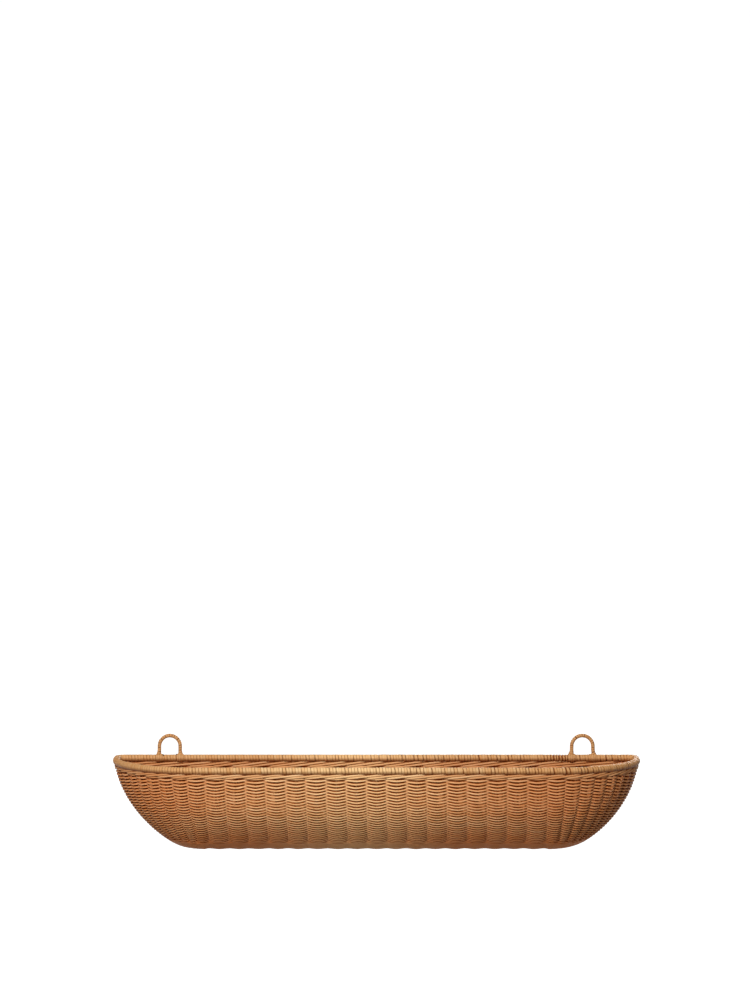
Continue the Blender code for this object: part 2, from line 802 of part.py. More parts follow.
def loop_lashing(name, surface, x):
    """Peel lashed over the rim at the foot of a leg, with a hole that the leg comes through."""
    even = [2 * math.pi * step / RIM_SIDES for step in range(RIM_SIDES // 2 - 1, RIM_SIDES - 1)]
    turns = [LASHING_START] + even
    outward = Vector((0, 1, 0))
    sections = []
    for end in (-1, 1):
        centre = place(x + end * LASHING_WIDTH / 2, RIM_BACK, RIM_HEIGHT)
        outer = [rim_point(centre, outward, turn, LASHING_RADIUS) for turn in turns]
        inner = [rim_point(centre, outward, turn, LASHING_BORE_RADIUS) for turn in turns]
        sections.append(outer + list(reversed(inner)))
    result = finish(name, surface, sweep(sections))
    hole = bmesh.new()
    radius = LOOP_RADIUS + FIT_GAP
    top = RIM_HEIGHT + LASHING_RADIUS + OVERRUN
    turned(hole, x, [(radius, RIM_HEIGHT), (radius, top)])
    cut(result, f"{name}_hole", hole)
    return result


def tack(name, surface, x):
    """Small nail with a flat head, driven down into the rim."""
    seat = RIM_HEIGHT + RIM_RADIUS
    shank = TACK_SHANK_DIAMETER / 2
    head = TACK_HEAD_DIAMETER / 2
    mesh_maker = bmesh.new()
    turned(mesh_maker, x, [
        (shank, seat - TACK_DEPTH),
        (shank, seat + FIT_GAP),
        (head, seat + FIT_GAP),
        (head, seat + FIT_GAP + TACK_HEAD_HEIGHT),
    ])
    return finish(name, surface, mesh_maker)


def build():
    """Make the whole basket."""
    for item in list(bpy.data.objects):
        bpy.data.objects.remove(item, do_unlink=True)

    cane = material("cane", (0.50, 0.27, 0.11), 0.55)
    weave = material("woven_cane", (0.56, 0.30, 0.12), 0.6)
    peel = material("cane_peel", (0.62, 0.38, 0.17), 0.45)
    steel = material("tack_steel", (0.10, 0.07, 0.05), 0.5)

    cross_stakes(cane)
    end_stakes(cane)
    back_stakes(cane)
    front_weave(weave)
    back_weave(weave)
    base_weave(weave)
    wale_band(weave)
    rim_core(cane, rim_holes())
    rim_wrap(peel, rim_holes())
    for label, legs in loop_legs().items():
        loop_core(f"{label}_loop_core", cane, legs)
        loop_wrap(f"{label}_loop_wrap", peel, legs)
        for place_name, x in zip(("outer", "inner"), legs):
            loop_lashing(f"{label}_loop_{place_name}_lashing", peel, x)
    for place_name, x in zip(("outer", "inner"), tack_positions()):
        tack(f"left_loop_{place_name}_tack", steel, x)


build()
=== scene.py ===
"""Half-round wicker wall basket: every weaver, stake and wale strand is a cane of its own, and the
rim and the hanging loops are wound turn by turn.

Metres, +Z up, +X along the basket, +Y towards the wall. A d is a distance from the wall, a share
is a number from 0 to 1, and a zone says where an effect begins and where it is full.
"""
import math

import bmesh
import bpy
import numpy as np
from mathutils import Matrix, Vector


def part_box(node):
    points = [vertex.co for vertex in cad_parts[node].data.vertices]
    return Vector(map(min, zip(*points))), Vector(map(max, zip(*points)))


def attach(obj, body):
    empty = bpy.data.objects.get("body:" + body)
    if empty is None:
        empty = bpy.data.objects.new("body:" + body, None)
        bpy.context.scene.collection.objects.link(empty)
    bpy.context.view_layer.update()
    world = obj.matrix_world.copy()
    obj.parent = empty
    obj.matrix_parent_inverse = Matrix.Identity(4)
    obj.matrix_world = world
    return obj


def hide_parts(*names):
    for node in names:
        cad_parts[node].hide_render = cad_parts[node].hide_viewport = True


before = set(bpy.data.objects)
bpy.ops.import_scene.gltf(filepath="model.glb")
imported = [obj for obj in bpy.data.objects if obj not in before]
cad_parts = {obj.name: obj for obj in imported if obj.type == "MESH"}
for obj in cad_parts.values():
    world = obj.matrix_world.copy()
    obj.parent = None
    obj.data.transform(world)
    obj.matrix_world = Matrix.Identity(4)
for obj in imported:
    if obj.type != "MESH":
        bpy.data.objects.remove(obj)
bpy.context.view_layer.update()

# Sizes that the solids have too
LENGTH = 0.800
DEPTH = 0.180
RIM_HEIGHT = 0.1265
BASE_DEPTH = 0.083
RIM_END_REACH = 0.139
BASE_END_REACH = 0.043
CORNER_RADIUS = 0.012
END_LEAN = math.radians(9)
FRONT_LEAN = math.radians(6)
END_FOOT_SHARE, END_TOP_SHARE = 0.15, 0.63
FRONT_FOOT_SHARE, FRONT_TOP_SHARE = 0.20, 0.65
STAKE_RADIUS = 0.0018
RIM_RADIUS = 0.0060
WINDING_RADIUS = 0.0056
HALF_WALL = 0.0042
WALE_DROP = 0.0074
WEAVE_TOP = 0.0131
STAKE_TOP = 0.0053
CROSS_HALF = 0.2628
CROSS_STEPS = 9
END_COUNT = 10
BACK_COUNT = 2
STAKE_BEND_RADIUS = 0.008
STAKE_TAIL = 0.005
LOOP_TOP = 0.1609
LOOP_CORE_RADIUS = 0.0018

RIM_HALF = LENGTH / 2 - RIM_RADIUS
STRAIGHT_HALF = RIM_HALF - RIM_END_REACH
RIM_FRONT = DEPTH - RIM_RADIUS
END_CENTRE = HALF_WALL + CORNER_RADIUS
RISE = RIM_HEIGHT - HALF_WALL
STAKE_GAP = CROSS_HALF / CROSS_STEPS

# How finely things are drawn: points from stake to stake, in a lap of peel and along curves,
# the step that directions are measured over, and the sides of a cane
STEPS = 10
WALE_STEPS = 14
LAP_STEPS = 20
LEVELS = 90
END_POINTS = 401
EDGE_POINTS = 120
BASE_EDGE_POINTS = 80
STAKE_POINTS = 26
STAKE_BEND_POINTS = 7
BACK_STAKE_POINTS = 6
RIM_END_POINTS = 60
RIM_BEND_POINTS = 14
RIM_BACK_POINTS = 30
RIM_FRONT_POINTS = 40
ARCH_POINTS = 25
LEG_POINTS = 8
LASHING_POINTS = 5
NUDGE = 0.0002
CANE_SIDES = 8

# Weavers: their canes, how far they swing in and out, how square the swing is, and their sag
WEAVER_HALF_THICK = 0.00116
WEAVER_HALF_TALL = 0.00145
BACK_HALF_TALL = 0.0016
ROW_PITCH = 0.00237
BACK_ROW_PITCH = 0.00225
WEAVER_REACH = 0.0029
SQUARENESS = 1.25
WEAVER_SAG = 0.0018
WEAVER_SHIFT = 0.0005
MOST_FULL = 1.25
WEAVE = {
    "Reach": WEAVER_REACH, "Drift": 0.0005, "Wobble": 0.0003, "Taper": 0.14, "Swell": 0.20,
}

# How the canes wander: how fine it is, and how much a strand's number shifts it
DRIFT_SCALE = 45.0
WOBBLE_SCALE, WOBBLE_STEP = 70.0, 3.7
TAPER_SCALE, TAPER_STEP = 60.0, 1.9

# The weave's belly is pushed along the basket, most of all where the peak makes the share 1
BELLY_SHIFT = 0.0018
BELLY_PEAK = 27 / 4

# Rows behind the wale, which lie flatter, and rows of the foot, which lie outside the stakes
FILLER_TOP = 0.0050
FILLER_SHARE = 0.3
DROP_FADE = 2.2
FOOT_FLAT = 11
FOOT_ROWS = 4
FOOT_PROUD = 0.97
FOOT_DIP = 0.35
LINING_FROM = 0.5
BASE_PROUD_ROWS = 8

# Ends of the rows, tucked in past the stakes of the back corners
TUCK = 0.6
CORNER_TUCK = 0.35
CORNER_STAKE_IN = 0.004
ROW_END_OUT = 0.003
EXTRA_CLEAR = 0.014

# Numbers that the strands are counted from. A lining's is an odd number above that of its row,
# so that it swings against it
BACK_NUMBER = 201
STAKE_NUMBER = 400
EXTRA_NUMBER = 450
WALE_NUMBER = 500
LINING_NUMBER = 701
BASE_LINING_NUMBER = 501
LOOP_NUMBER = 600
LAP_NUMBERS = 1000

# Wale: its canes, their way in and out and up and down over a beat of three stakes, and the back
WALE_HALF_THICK = 0.0013
WALE_HALF_TALL = 0.00175
WALE_REACH = 0.0032
WALE_SWAY = 0.0033
WALE = {"Reach": WALE_REACH, "Drift": 0.0004, "Wobble": 0.0005, "Taper": 0.2, "Sides": 10}
WALE_STRANDS = 3
WALE_SIDES_BY_BEAT = (0, 0.2, 0.7, 2.3, 2.8, 3), (-1, -0.95, 1, 1, -0.95, -1)
WALE_SWAYS_BY_BEAT = (0, 0.45, 2.55, 3), (0, -1, 1, 0)
WALE_SOFTENING = 5
WALE_CROSSING = 0.010
BACK_WALE_DROP = 0.0013
BACK_WALE_SWAY = 1.25

# Peel of the rim: quieter on the left, slack on the right, slipped together on the back
RIM_PEEL_WIDTH = 0.0045
RIM_PEEL_HALF = 0.00034
RIM_OVERLAP = 0.60
RIM_SWELL = -0.45
RIM_JITTER = 0.3
RIM_LIFT = 0.00022
RIM_SEED = 3
RIM_CALM = (-0.25, 0.05), (0.35, 1.0)
SLACK_SEED = 17
SLACK = (-0.1, 0.1), (0.2, 0.6)
SLIPPED = (0.262, 0.268, 0.291, 0.297), (0, 1.2, 1.2, 0)

# Hanging loops, each from its left foot to its right one
LOOP_RADIUS = 0.0029
LOOP_SEAT = 0.001
LOOP_PEEL_WIDTH = 0.0034
LOOP_PEEL_HALF = 0.00032
LOOP_OVERLAP = 0.55
LOOP_JITTER = 0.15
LOOP_LIFT = 0.00006
BULGE_SHARE = 0.10
LASHING_HALF = 0.0050
LASHING_HALF_THICK = 0.0005
LASHING_HALF_WIDE = 0.0015
LASHING_PITCH = 0.0025
LASHING_LAPS = 4.0
LASHING_OVER = 0.0003
LASHING_LIFT = 0.0001
LASHING_SEED = 9
LOOPS = {
    "left": {
        "middle": -0.3153, "half": 0.0158, "flares": (0.0012, 0.0006),
        "bulges": (0.0014, 0.0012), "shoulders": (0.0007, 0.0009), "feet": ("outer", "inner"),
        "seed": 4,
    },
    "right": {
        "middle": 0.3139, "half": 0.0162, "flares": (0.0010, 0.0016),
        "bulges": (0.0030, 0.0012), "shoulders": (0.0014, 0.0006), "feet": ("inner", "outer"),
        "seed": 5,
    },
}

# Tacks: how far each leans to the front, and radii and heights over the point and over the peel
TACK_LEANS = {
    "left_loop_outer_tack": math.radians(28),
    "left_loop_inner_tack": math.radians(12),
}
TACK_POINT = (0.0, 0.0), (0.0005, 0.0006), (0.0006, 0.001)
TACK_HEAD = (
    (0.0006, -0.0003), (0.0012, -0.0002), (0.0013, 0.0003), (0.0012, 0.0008), (0.0008, 0.0012),
    (0.0, 0.0014),
)
TACK_SIDES = 16

# How light the cane is: by the strand's own tone, by patches and by fibres. Flecks are dark
TONE_SHARE, PATCH_SHARE, FIBRE_SHARE = 0.40, 0.80, 0.25
LIGHT_ZONE = (0.40, 1.00)
PATCH_STEP, PATCH_DETAIL = 0.71, 3.0
FIBRES = {"stretch": 90.0, "spread": 1.4, "step": 0.37, "detail": 4.0}
FLECKS = {"stretch": 420.0, "spread": 0.5, "step": 1.3, "detail": 1.0}
FLECK_ZONE, FLECK_SHARE = (0.68, 0.78), 0.35

# Where painted shade makes the cane browner (at the foot, the ends, the right, behind, and the
# peel under the rim), and painted light makes a stretch left of the middle lighter
FOOT_ZONE = (0.060, 0.012)
END_ZONE, END_SHARE = (0.18, 0.31), 0.65
RIGHT_ZONE, RIGHT_SHARE = (0.04, 0.26), 0.64
BEHIND_ZONE, BEHIND_SHARE = (0.03, 0.07), 0.55
BROWN_SHADE_SHARE = 0.85
PAINTED_LIGHT_COLOUR = (255, 214, 152)
PAINTED_LIGHT_LEFT, PAINTED_LIGHT_ZONE, PAINTED_LIGHT_SHARE = 0.03, (0.15, 0.02), 0.35
UNDER_ZONE = (RIM_HEIGHT + 0.0012, RIM_HEIGHT - 0.0036)

# Painted shade in the seams between the canes and on the faces turned to the stakes, darker and
# wider in the lower wall, and the skin of the cane
FLANK_ZONE = (0.25, 0.8)
DEPTH_ZONE = (0.0, -0.7)
SEAM_TOP_ZONE, SEAM_FOOT_ZONE, SEAM_END_ZONE = (0.080, 0.050), (0.016, 0.030), (0.37, 0.28)
SEAM_WIDER, SEAM_DARKER, SEAM_LEFT = 0.06, 0.6, 0.3
ROUGH_ZONE, ROUGH_MORE = (0.2, 0.8), 0.18
BUMP_STRENGTH, BUMP_HEIGHT = 0.35, 0.0003

# Nail steel
STEEL_DARK, STEEL_RUBBED = (0.020, 0.012, 0.008, 1), (0.07, 0.045, 0.03, 1)
RUB_SCALE, RUB_DETAIL, RUB_ZONE = 900.0, 3.0, (0.35, 0.7)
STEEL_ROUGH, STEEL_ROUGH_MORE, STEEL_METALLIC = 0.35, 0.3, 0.6

# Studio
FLOOR_HALF = 300.0
FLOOR_Z = -2.6
FLOOR_COLOUR = (0.48, 0.47, 0.46, 1)
FLOOR_GLOW, FLOOR_FAR_GLOW, FLOOR_FAR_ZONE = 0.75, 0.30, (2.0, 6.0)
WHITE = (1, 1, 1, 1)
WORLD_SEEN = 1.02
WORLD_LIGHT = 0.26
LAMPS = (
    ("key_light", (-0.7, -2.6, 1.75), 1.4, 99),
    ("top_light", (0.3, 0.2, 2.6), 2.4, 10),
    ("back_light", (0.9, 2.6, 0.8), 1.8, 40),
)
LAMP_AIM = Vector((0, 0, 0.08))
CAMERA_SPOT = (-0.0023, -3.178, 0.4990)
CAMERA_TILT = math.pi / 2 + 0.00653
CAMERA_LENS, CAMERA_SENSOR = 76.92, 36

UP = np.array((0.0, 0.0, 1.0))
BACKWARDS = np.array((0.0, 1.0, 0.0))


# The curved wall

def place(x, d, z):
    """World points from distances along, out from the wall, and up."""
    x, d, z = np.broadcast_arrays(x, d, z)
    return np.stack((x, DEPTH / 2 - d, z), axis=-1).astype(float)


def run_lengths(points):
    """Length of a line of points up to each of them."""
    steps = np.linalg.norm(np.diff(points, axis=0), axis=1)
    return np.concatenate(([0.0], np.cumsum(steps)))


def bezier(first, second, third, last, share):
    """One coordinate of a cubic curve."""
    rest = 1 - share
    return (rest**3 * first + 3 * rest**2 * share * second
            + 3 * rest * share**2 * third + share**3 * last)


def profile(foot_share, top_share, lean, reach, rise):
    """How far out and how far up the wall has come, as shares of the whole."""
    arrive_share = 1 - top_share * RISE * math.tan(lean) / reach
    return bezier(0, foot_share, arrive_share, 1, rise), bezier(0, 0, 1 - top_share, 1, rise)


def end_place(angle, rise):
    """x, d and z of the right-hand end wall: angle 0 at the back corner, a right one in front."""
    end_out, end_up = profile(
        END_FOOT_SHARE, END_TOP_SHARE, END_LEAN, RIM_END_REACH - BASE_END_REACH, rise
    )
    front_out, front_up = profile(
        FRONT_FOOT_SHARE, FRONT_TOP_SHARE, FRONT_LEAN, RIM_FRONT - BASE_DEPTH, rise
    )
    front_share = np.sin(angle) ** 2
    out = end_out + (front_out - end_out) * front_share
    up = end_up + (front_up - end_up) * front_share
    reach = BASE_END_REACH + (RIM_END_REACH - BASE_END_REACH) * out
    depth = BASE_DEPTH + (RIM_FRONT - BASE_DEPTH) * out - END_CENTRE
    return (
        STRAIGHT_HALF + reach * np.cos(angle),
        END_CENTRE + depth * np.sin(angle),
        HALF_WALL + RISE * up,
    )


END_ANGLES = np.linspace(math.pi / 2, 0, END_POINTS)
END_ARC = run_lengths(place(*end_place(END_ANGLES, 1.0)))
CORNER_TURN = STRAIGHT_HALF + END_ARC[-1]
LAST_TURN = CORNER_TURN + CORNER_RADIUS * math.pi / 2
LAST_STAKE_TURN = (CORNER_TURN + LAST_TURN) / 2


def wall(turn, rise):
    """Middle of the wall at a turn and a rise.

    A turn is a signed length along the rim from the middle of the front. The rise goes from 0 at
    the base to 1 at the rim.
    """
    turn, rise = np.broadcast_arrays(np.asarray(turn, float), np.asarray(rise, float))
    length = np.abs(turn)
    angle = np.interp(length - STRAIGHT_HALF, END_ARC, END_ANGLES)
    x, d, z = end_place(angle, rise)
    bend = np.clip((length - CORNER_TURN) / CORNER_RADIUS, 0, math.pi / 2)
    x = x + np.minimum(length - STRAIGHT_HALF, 0)
    x = x + CORNER_RADIUS * (np.cos(bend) - 1) - np.maximum(length - LAST_TURN, 0)
    d = d - CORNER_RADIUS * np.sin(bend)
    pushed = BELLY_SHIFT * BELLY_PEAK * rise * (1 - rise) ** 2
    return place(np.where(turn < 0, -x, x) + pushed, d, z)


def smooth(share):
    """Share from 0 to 1 with soft ends."""
    share = np.clip(share, 0, 1)
    return share * share * (3 - 2 * share)


def unit(vectors):
    """Vectors of length one."""
    return vectors / np.linalg.norm(vectors, axis=-1, keepdims=True)


def wall_frame(turn, rise):
    """Points of the wall with the directions out of it and up along it."""
    rise = np.asarray(rise, float)
    along = wall(turn + NUDGE, rise) - wall(turn - NUDGE, rise)
    up = unit(wall(turn, np.minimum(rise + NUDGE, 1)) - wall(turn, np.maximum(rise - NUDGE, 0)))
    return wall(turn, rise), unit(np.cross(along, up)), up


def wall_length(turn):
    """Whole length of the wall at a turn, from the base's edge to the rim."""
    return run_lengths(wall(turn, np.linspace(0, 1, LEVELS)))[-1]


def rises_at(turn, ways_of):
    """Rises of the wall at each turn, from a function of the wall's whole length there."""
    levels = np.linspace(0, 1, LEVELS)
    rows = []
    for each in turn:
        lengths = run_lengths(wall(each, levels))
        rows.append(np.interp(ways_of(lengths[-1]), lengths, levels))
    return np.array(rows).T


CROSS = CROSS_HALF * np.arange(-CROSS_STEPS, CROSS_STEPS + 1) / CROSS_STEPS
END_NUMBERS = np.arange(1, END_COUNT + 1)
END_TURNS = CROSS_HALF + (LAST_STAKE_TURN - CROSS_HALF) * END_NUMBERS / END_COUNT
STAKE_TURNS = np.concatenate((-END_TURNS[::-1], CROSS, END_TURNS))
EXTRA_NUMBERS = np.arange(1, BACK_COUNT + 1)
BACK_EXTRAS = CROSS_HALF + (RIM_HALF - CROSS_HALF) * EXTRA_NUMBERS / (BACK_COUNT + 1)


# Nodes

class Wire:
    """Output of a node, with which sums and products can be written."""

    def __init__(self, bench, socket):
        self.bench = bench
        self.socket = socket

    def out(self, name):
        """Another output of the same node."""
        return Wire(self.bench, self.socket.node.outputs[name])

    def maths(self, operation, other):
        """Maths node, or a vector maths node where this wire carries a vector."""
        if self.socket.type == "VALUE":
            return self.bench.add("ShaderNodeMath", {0: self, 1: other}, operation=operation)
        plain = not isinstance(other, Wire) or other.socket.type == "VALUE"
        if operation == "MULTIPLY" and plain:
            return self.bench.add(
                "ShaderNodeVectorMath", {0: self, "Scale": other}, operation="SCALE"
            )
        return self.bench.add("ShaderNodeVectorMath", {0: self, 1: other}, operation=operation)

    def __add__(self, other):
        return self.maths("ADD", other)

    def __sub__(self, other):
        return self.maths("SUBTRACT", other)

    def __mul__(self, other):
        return self.maths("MULTIPLY", other)


class Bench:
    """Node tree that nodes are set out on."""

    def __init__(self, tree):
        self.tree = tree

    def add(self, kind, values=None, output=0, **settings):
        """Node of a kind: its settings first, then the values or wires of its inputs."""
        node = self.tree.nodes.new(kind)
        for name, value in settings.items():
            setattr(node, name, value)
        for name, value in (values or {}).items():
            if isinstance(value, Wire):
                self.tree.links.new(value.socket, node.inputs[name])
            else:
                node.inputs[name].default_value = value
        return Wire(self, node.outputs[output]) if len(node.outputs) else node

    def larger(self, first, second):
        """The larger one of two values."""
        return self.add("ShaderNodeMath", {0: first, 1: second}, operation="MAXIMUM")

    def absolute(self, value):
        """A value without its sign."""
        return self.add("ShaderNodeMath", {0: value}, operation="ABSOLUTE")

    def mix(self, share, first, second):
        """Blend of two colours."""
        values = {0: share, 6: first, 7: second}
        return self.add("ShaderNodeMix", values, output=2, data_type="RGBA")

    def between(self, value, zone):
        """How far a value has come through a zone, kept between 0 and 1."""
        begin, full = zone
        return self.add("ShaderNodeMapRange", {0: value, 1: begin, 2: full})

    def noise(self, spot, number, scale, detail, output=0):
        """Noise at a place, other for each number."""
        values = {"Vector": spot, "W": number, "Scale": scale, "Detail": detail}
        return self.add("ShaderNodeTexNoise", values, output=output, noise_dimensions="4D")


def sweep_tree():
    """Nodes that weave each path in and out, let it wander, and sweep a cane or strip along it."""
    tree = bpy.data.node_groups.new("swept_cane", "GeometryNodeTree")
    sockets = tree.interface
    sockets.new_socket(name="Paths", in_out="INPUT", socket_type="NodeSocketGeometry")
    for name in ("Half thickness", "Half width", "Reach", "Drift", "Wobble", "Taper", "Swell"):
        sockets.new_socket(name=name, in_out="INPUT", socket_type="NodeSocketFloat")
    for name in ("Sides", "Seed"):
        sockets.new_socket(name=name, in_out="INPUT", socket_type="NodeSocketInt")
    sockets.new_socket(name="Finish", in_out="INPUT", socket_type="NodeSocketMaterial")
    sockets.new_socket(name="Canes", in_out="OUTPUT", socket_type="NodeSocketGeometry")
    bench = Bench(tree)
    given = bench.add("NodeGroupInput")
    seed = given.out("Seed")

    def attribute(name, kind="FLOAT"):
        return bench.add("GeometryNodeInputNamedAttribute", {"Name": name}, data_type=kind)

    def stored(geometry, name, value, kind, domain):
        return bench.add(
            "GeometryNodeStoreNamedAttribute",
            {"Geometry": geometry, "Name": name, "Value": value}, data_type=kind, domain=domain,
        )

    out = attribute("out", "FLOAT_VECTOR")
    side = attribute("side")
    strand = attribute("strand")
    spot = bench.add("GeometryNodeInputPosition")
    drift = bench.noise(spot, seed, DRIFT_SCALE, 1.0, "Color")
    wobble = bench.noise(spot, strand * WOBBLE_STEP + seed, WOBBLE_SCALE, 1.0, "Color")
    grey = (0.5, 0.5, 0.5)
    offset = out * (side * given.out("Reach"))
    offset = offset + (drift - grey) * given.out("Drift") + (wobble - grey) * given.out("Wobble")
    moved = bench.add("GeometryNodeSetPosition", {"Geometry": given, "Offset": offset})
    curve = bench.add("GeometryNodeMeshToCurve", {"Mesh": moved})
    curve = bench.add("GeometryNodeSetCurveNormal", {"Curve": curve, "Normal": out}, mode="FREE")

    ring = bench.add(
        "GeometryNodeCurvePrimitiveCircle", {"Resolution": given.out("Sides"), "Radius": 1.0}
    )
    half_side = bench.add(
        "ShaderNodeMath", {0: math.pi, 1: given.out("Sides")}, operation="DIVIDE"
    )
    spin = bench.add("ShaderNodeCombineXYZ", {"Z": half_side})
    size = bench.add("ShaderNodeCombineXYZ", {
        "X": given.out("Half thickness"), "Y": given.out("Half width"), "Z": 1.0,
    })
    ring = bench.add("GeometryNodeTransform", {"Geometry": ring, "Rotation": spin})
    ring = stored(ring, "ring", spot, "FLOAT_VECTOR", "POINT")
    ring = bench.add("GeometryNodeTransform", {"Geometry": ring, "Scale": size})

    grown = bench.noise(spot, strand * TAPER_STEP + seed, TAPER_SCALE, 1.0)
    bulk = bench.absolute(side) * given.out("Swell")
    thick = (grown - 0.5) * given.out("Taper") + bulk + attribute("fullness")
    canes = bench.add("GeometryNodeCurveToMesh", {
        "Curve": curve, "Profile Curve": ring, "Scale": thick, "Fill Caps": True,
    })
    across = bench.add(
        "ShaderNodeSeparateXYZ", {0: attribute("ring", "FLOAT_VECTOR")}, output="Y"
    )
    chart = bench.add("ShaderNodeCombineXYZ", {"X": attribute("length"), "Y": across})
    canes = stored(canes, "UVMap", chart, "FLOAT2", "CORNER")
    canes = bench.add("GeometryNodeSetShadeSmooth", {"Geometry": canes})
    canes = bench.add("GeometryNodeRealizeInstances", {"Geometry": canes})
    canes = bench.add(
        "GeometryNodeSetMaterial", {"Geometry": canes, "Material": given.out("Finish")}
    )
    bench.add("NodeGroupOutput", {"Canes": canes})
    return tree


SWEEP = sweep_tree()


def path(points, out, side, strand, fullness=1.0):
    """Path of one cane.

    It has points, the direction out there, the side of the wall, a number and how full it is.
    """
    count = len(points)
    return {
        "points": points,
        "out": np.broadcast_to(out, (count, 3)),
        "side": np.broadcast_to(side, count),
        "strand": np.broadcast_to(strand, count),
        "fullness": np.broadcast_to(fullness, count),
    }


def section(half_thick, half_wide):
    """Half sizes of a cane or a strip, by the names that the node tree has for them."""
    return {"Half thickness": half_thick, "Half width": half_wide}


def swept(name, slot, material, paths, nodes, **sizes):
    """Piece with a cane or a strip along each path, standing for the given solids."""
    counts = [len(each["points"]) for each in paths]
    joined = {key: np.concatenate([each[key] for each in paths]) for key in paths[0]}
    joined["length"] = np.concatenate([run_lengths(each["points"]) for each in paths])
    starts = np.concatenate([
        np.arange(first, first + count - 1)
        for first, count in zip(np.cumsum([0] + counts[:-1]), counts)
    ])
    mesh = bpy.data.meshes.new(f"{name}_paths")
    mesh.vertices.add(sum(counts))
    mesh.vertices.foreach_set("co", joined["points"].ravel())
    mesh.edges.add(len(starts))
    mesh.edges.foreach_set("vertices", np.stack((starts, starts + 1), axis=1).ravel())
    layer = mesh.attributes.new("out", "FLOAT_VECTOR", "POINT")
    layer.data.foreach_set("vector", joined["out"].ravel())
    for key in ("side", "strand", "fullness", "length"):
        layer = mesh.attributes.new(key, "FLOAT", "POINT")
        layer.data.foreach_set("value", joined[key].astype(float))

    guide = bpy.data.objects.new(f"{name}_guide", mesh)
    bpy.context.collection.objects.link(guide)
    modifier = guide.modifiers.new("Sweep", "NODES")
    modifier.node_group = SWEEP
    values = {
        **section(WEAVER_HALF_THICK, WEAVER_HALF_TALL), "Reach": 0.0, "Drift": 0.0, "Wobble": 0.0,
        "Taper": 0.0, "Swell": 0.0, "Sides": CANE_SIDES, "Seed": 1, "Finish": material, **sizes,
    }
    for item in SWEEP.interface.items_tree:
        if item.name in values:
            modifier[item.identifier] = values[item.name]
    depsgraph = bpy.context.evaluated_depsgraph_get()
    made = bpy.data.meshes.new_from_object(guide.evaluated_get(depsgraph))
    bpy.data.objects.remove(guide)
    bpy.data.meshes.remove(mesh)
    for key in ("out", "length", "fullness"):
        if key in made.attributes:
            made.attributes.remove(made.attributes[key])
    settle(name, made, nodes)


def settle(name, mesh, nodes):
    """Object of a finished mesh, facing out, riding on the basket and standing for its solids."""
    mesh.name = name
    corners = np.empty(len(mesh.vertices) * 3)
    mesh.vertices.foreach_get("co", corners)
    corners = corners.reshape(-1, 3)
    mesh.calc_loop_triangles()
    triangles = np.empty(len(mesh.loop_triangles) * 3, dtype=np.int32)
    mesh.loop_triangles.foreach_get("vertices", triangles)
    first, second, third = corners[triangles.reshape(-1, 3)].transpose(1, 0, 2)
    if np.einsum("ij,ij->", first, np.cross(second, third)) < 0:
        mesh.flip_normals()
    piece = bpy.data.objects.new(name, mesh)
    bpy.context.collection.objects.link(piece)
    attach(piece, "root")
    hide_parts(*nodes)


# Woven walls

def weaver(points, out, up, phase, last, row, swing_share, proud_share, drop_share,
           shift=0.0, fullness=1.0):
    """Path of one weaver, before one stake and behind the next.

    The phase counts the stakes, and both ends are tucked inside. The swing share says how far it
    goes in and out, the proud share how far its middle lies outside the wall's middle, and the
    drop share how much lower it lies at the stakes, the more so where they are far apart. By the
    shift it is higher outside than inside. A proud weaver bulges over each stake.
    """
    between = np.clip(phase, 0, last)
    swing = np.cos(math.pi * (between + row))
    past = np.maximum(-phase, phase - last) / TUCK
    tuck = smooth((past - CORNER_TUCK) / (1 - CORNER_TUCK))
    gap = np.linalg.norm(np.gradient(points, phase, axis=0), axis=1) / STAKE_GAP
    dip = np.sin(math.pi * between) ** 2 * np.minimum(gap, 1) ** 2
    side = np.tanh(SQUARENESS * swing) / math.tanh(SQUARENESS) * swing_share
    side = side + proud_share * (1 - FOOT_DIP * dip)
    drop = WEAVER_SAG * np.minimum(gap, 1) ** 2 * np.cos(math.pi * between) ** 2 - shift * swing
    points = points - up * (drop * drop_share)[:, None]
    return path(points, out, side * (1 - tuck) - tuck, row, fullness)


def phases(stakes):
    """Steps along a row, counted in stakes, and the phases at its two ends and its stakes."""
    last = stakes - 1
    steps = np.arange(round(-TUCK * STEPS), round((last + TUCK) * STEPS) + 1) / STEPS
    return steps, np.concatenate(([-TUCK], np.arange(stakes), [last + TUCK]))


def swing_and_drop(proud, to_top):
    """Swing share and drop share of a weaver, flatter near the top and where it is proud."""
    swing = min(1 - proud, FILLER_SHARE + (1 - FILLER_SHARE) * to_top)
    return swing, min(1 - proud, to_top / DROP_FADE)


def wall_rows():
    """Weavers of the front and the ends, from the base up, the last ones flat behind the wale.

    Where the rows of the foot lie outside the stakes, a lining of rows lies inside them.
    """
    last = len(STAKE_TURNS) - 1
    phase, knots = phases(len(STAKE_TURNS))
    reach = LAST_TURN + ROW_END_OUT
    turn = np.interp(phase, knots, np.concatenate(([-reach], STAKE_TURNS, [reach])))
    lengths = np.array([wall_length(each) for each in turn]) - FILLER_TOP
    count = round(lengths[len(phase) // 2] / ROW_PITCH)
    filler = round((WEAVE_TOP - FILLER_TOP) / ROW_PITCH)
    shares = (np.arange(count) + 0.5) / count
    rises = rises_at(turn, lambda whole: shares * (whole - FILLER_TOP))
    fullness = np.clip(lengths / count / ROW_PITCH, 1, MOST_FULL)
    rows, lining = [], []
    for number, rise in enumerate(rises):
        spots = wall_frame(turn, rise)
        proud = FOOT_PROUD * (1 - float(smooth((number - FOOT_FLAT) / FOOT_ROWS)))
        swing, drop = swing_and_drop(proud, (count - 1 - number) / filler)
        rows.append(weaver(
            *spots, phase, last, number, swing, proud, drop, WEAVER_SHIFT, fullness
        ))
        if proud > LINING_FROM:
            row = LINING_NUMBER + number
            lining.append(weaver(*spots, phase, last, row, swing, -proud, drop))
    return rows, lining


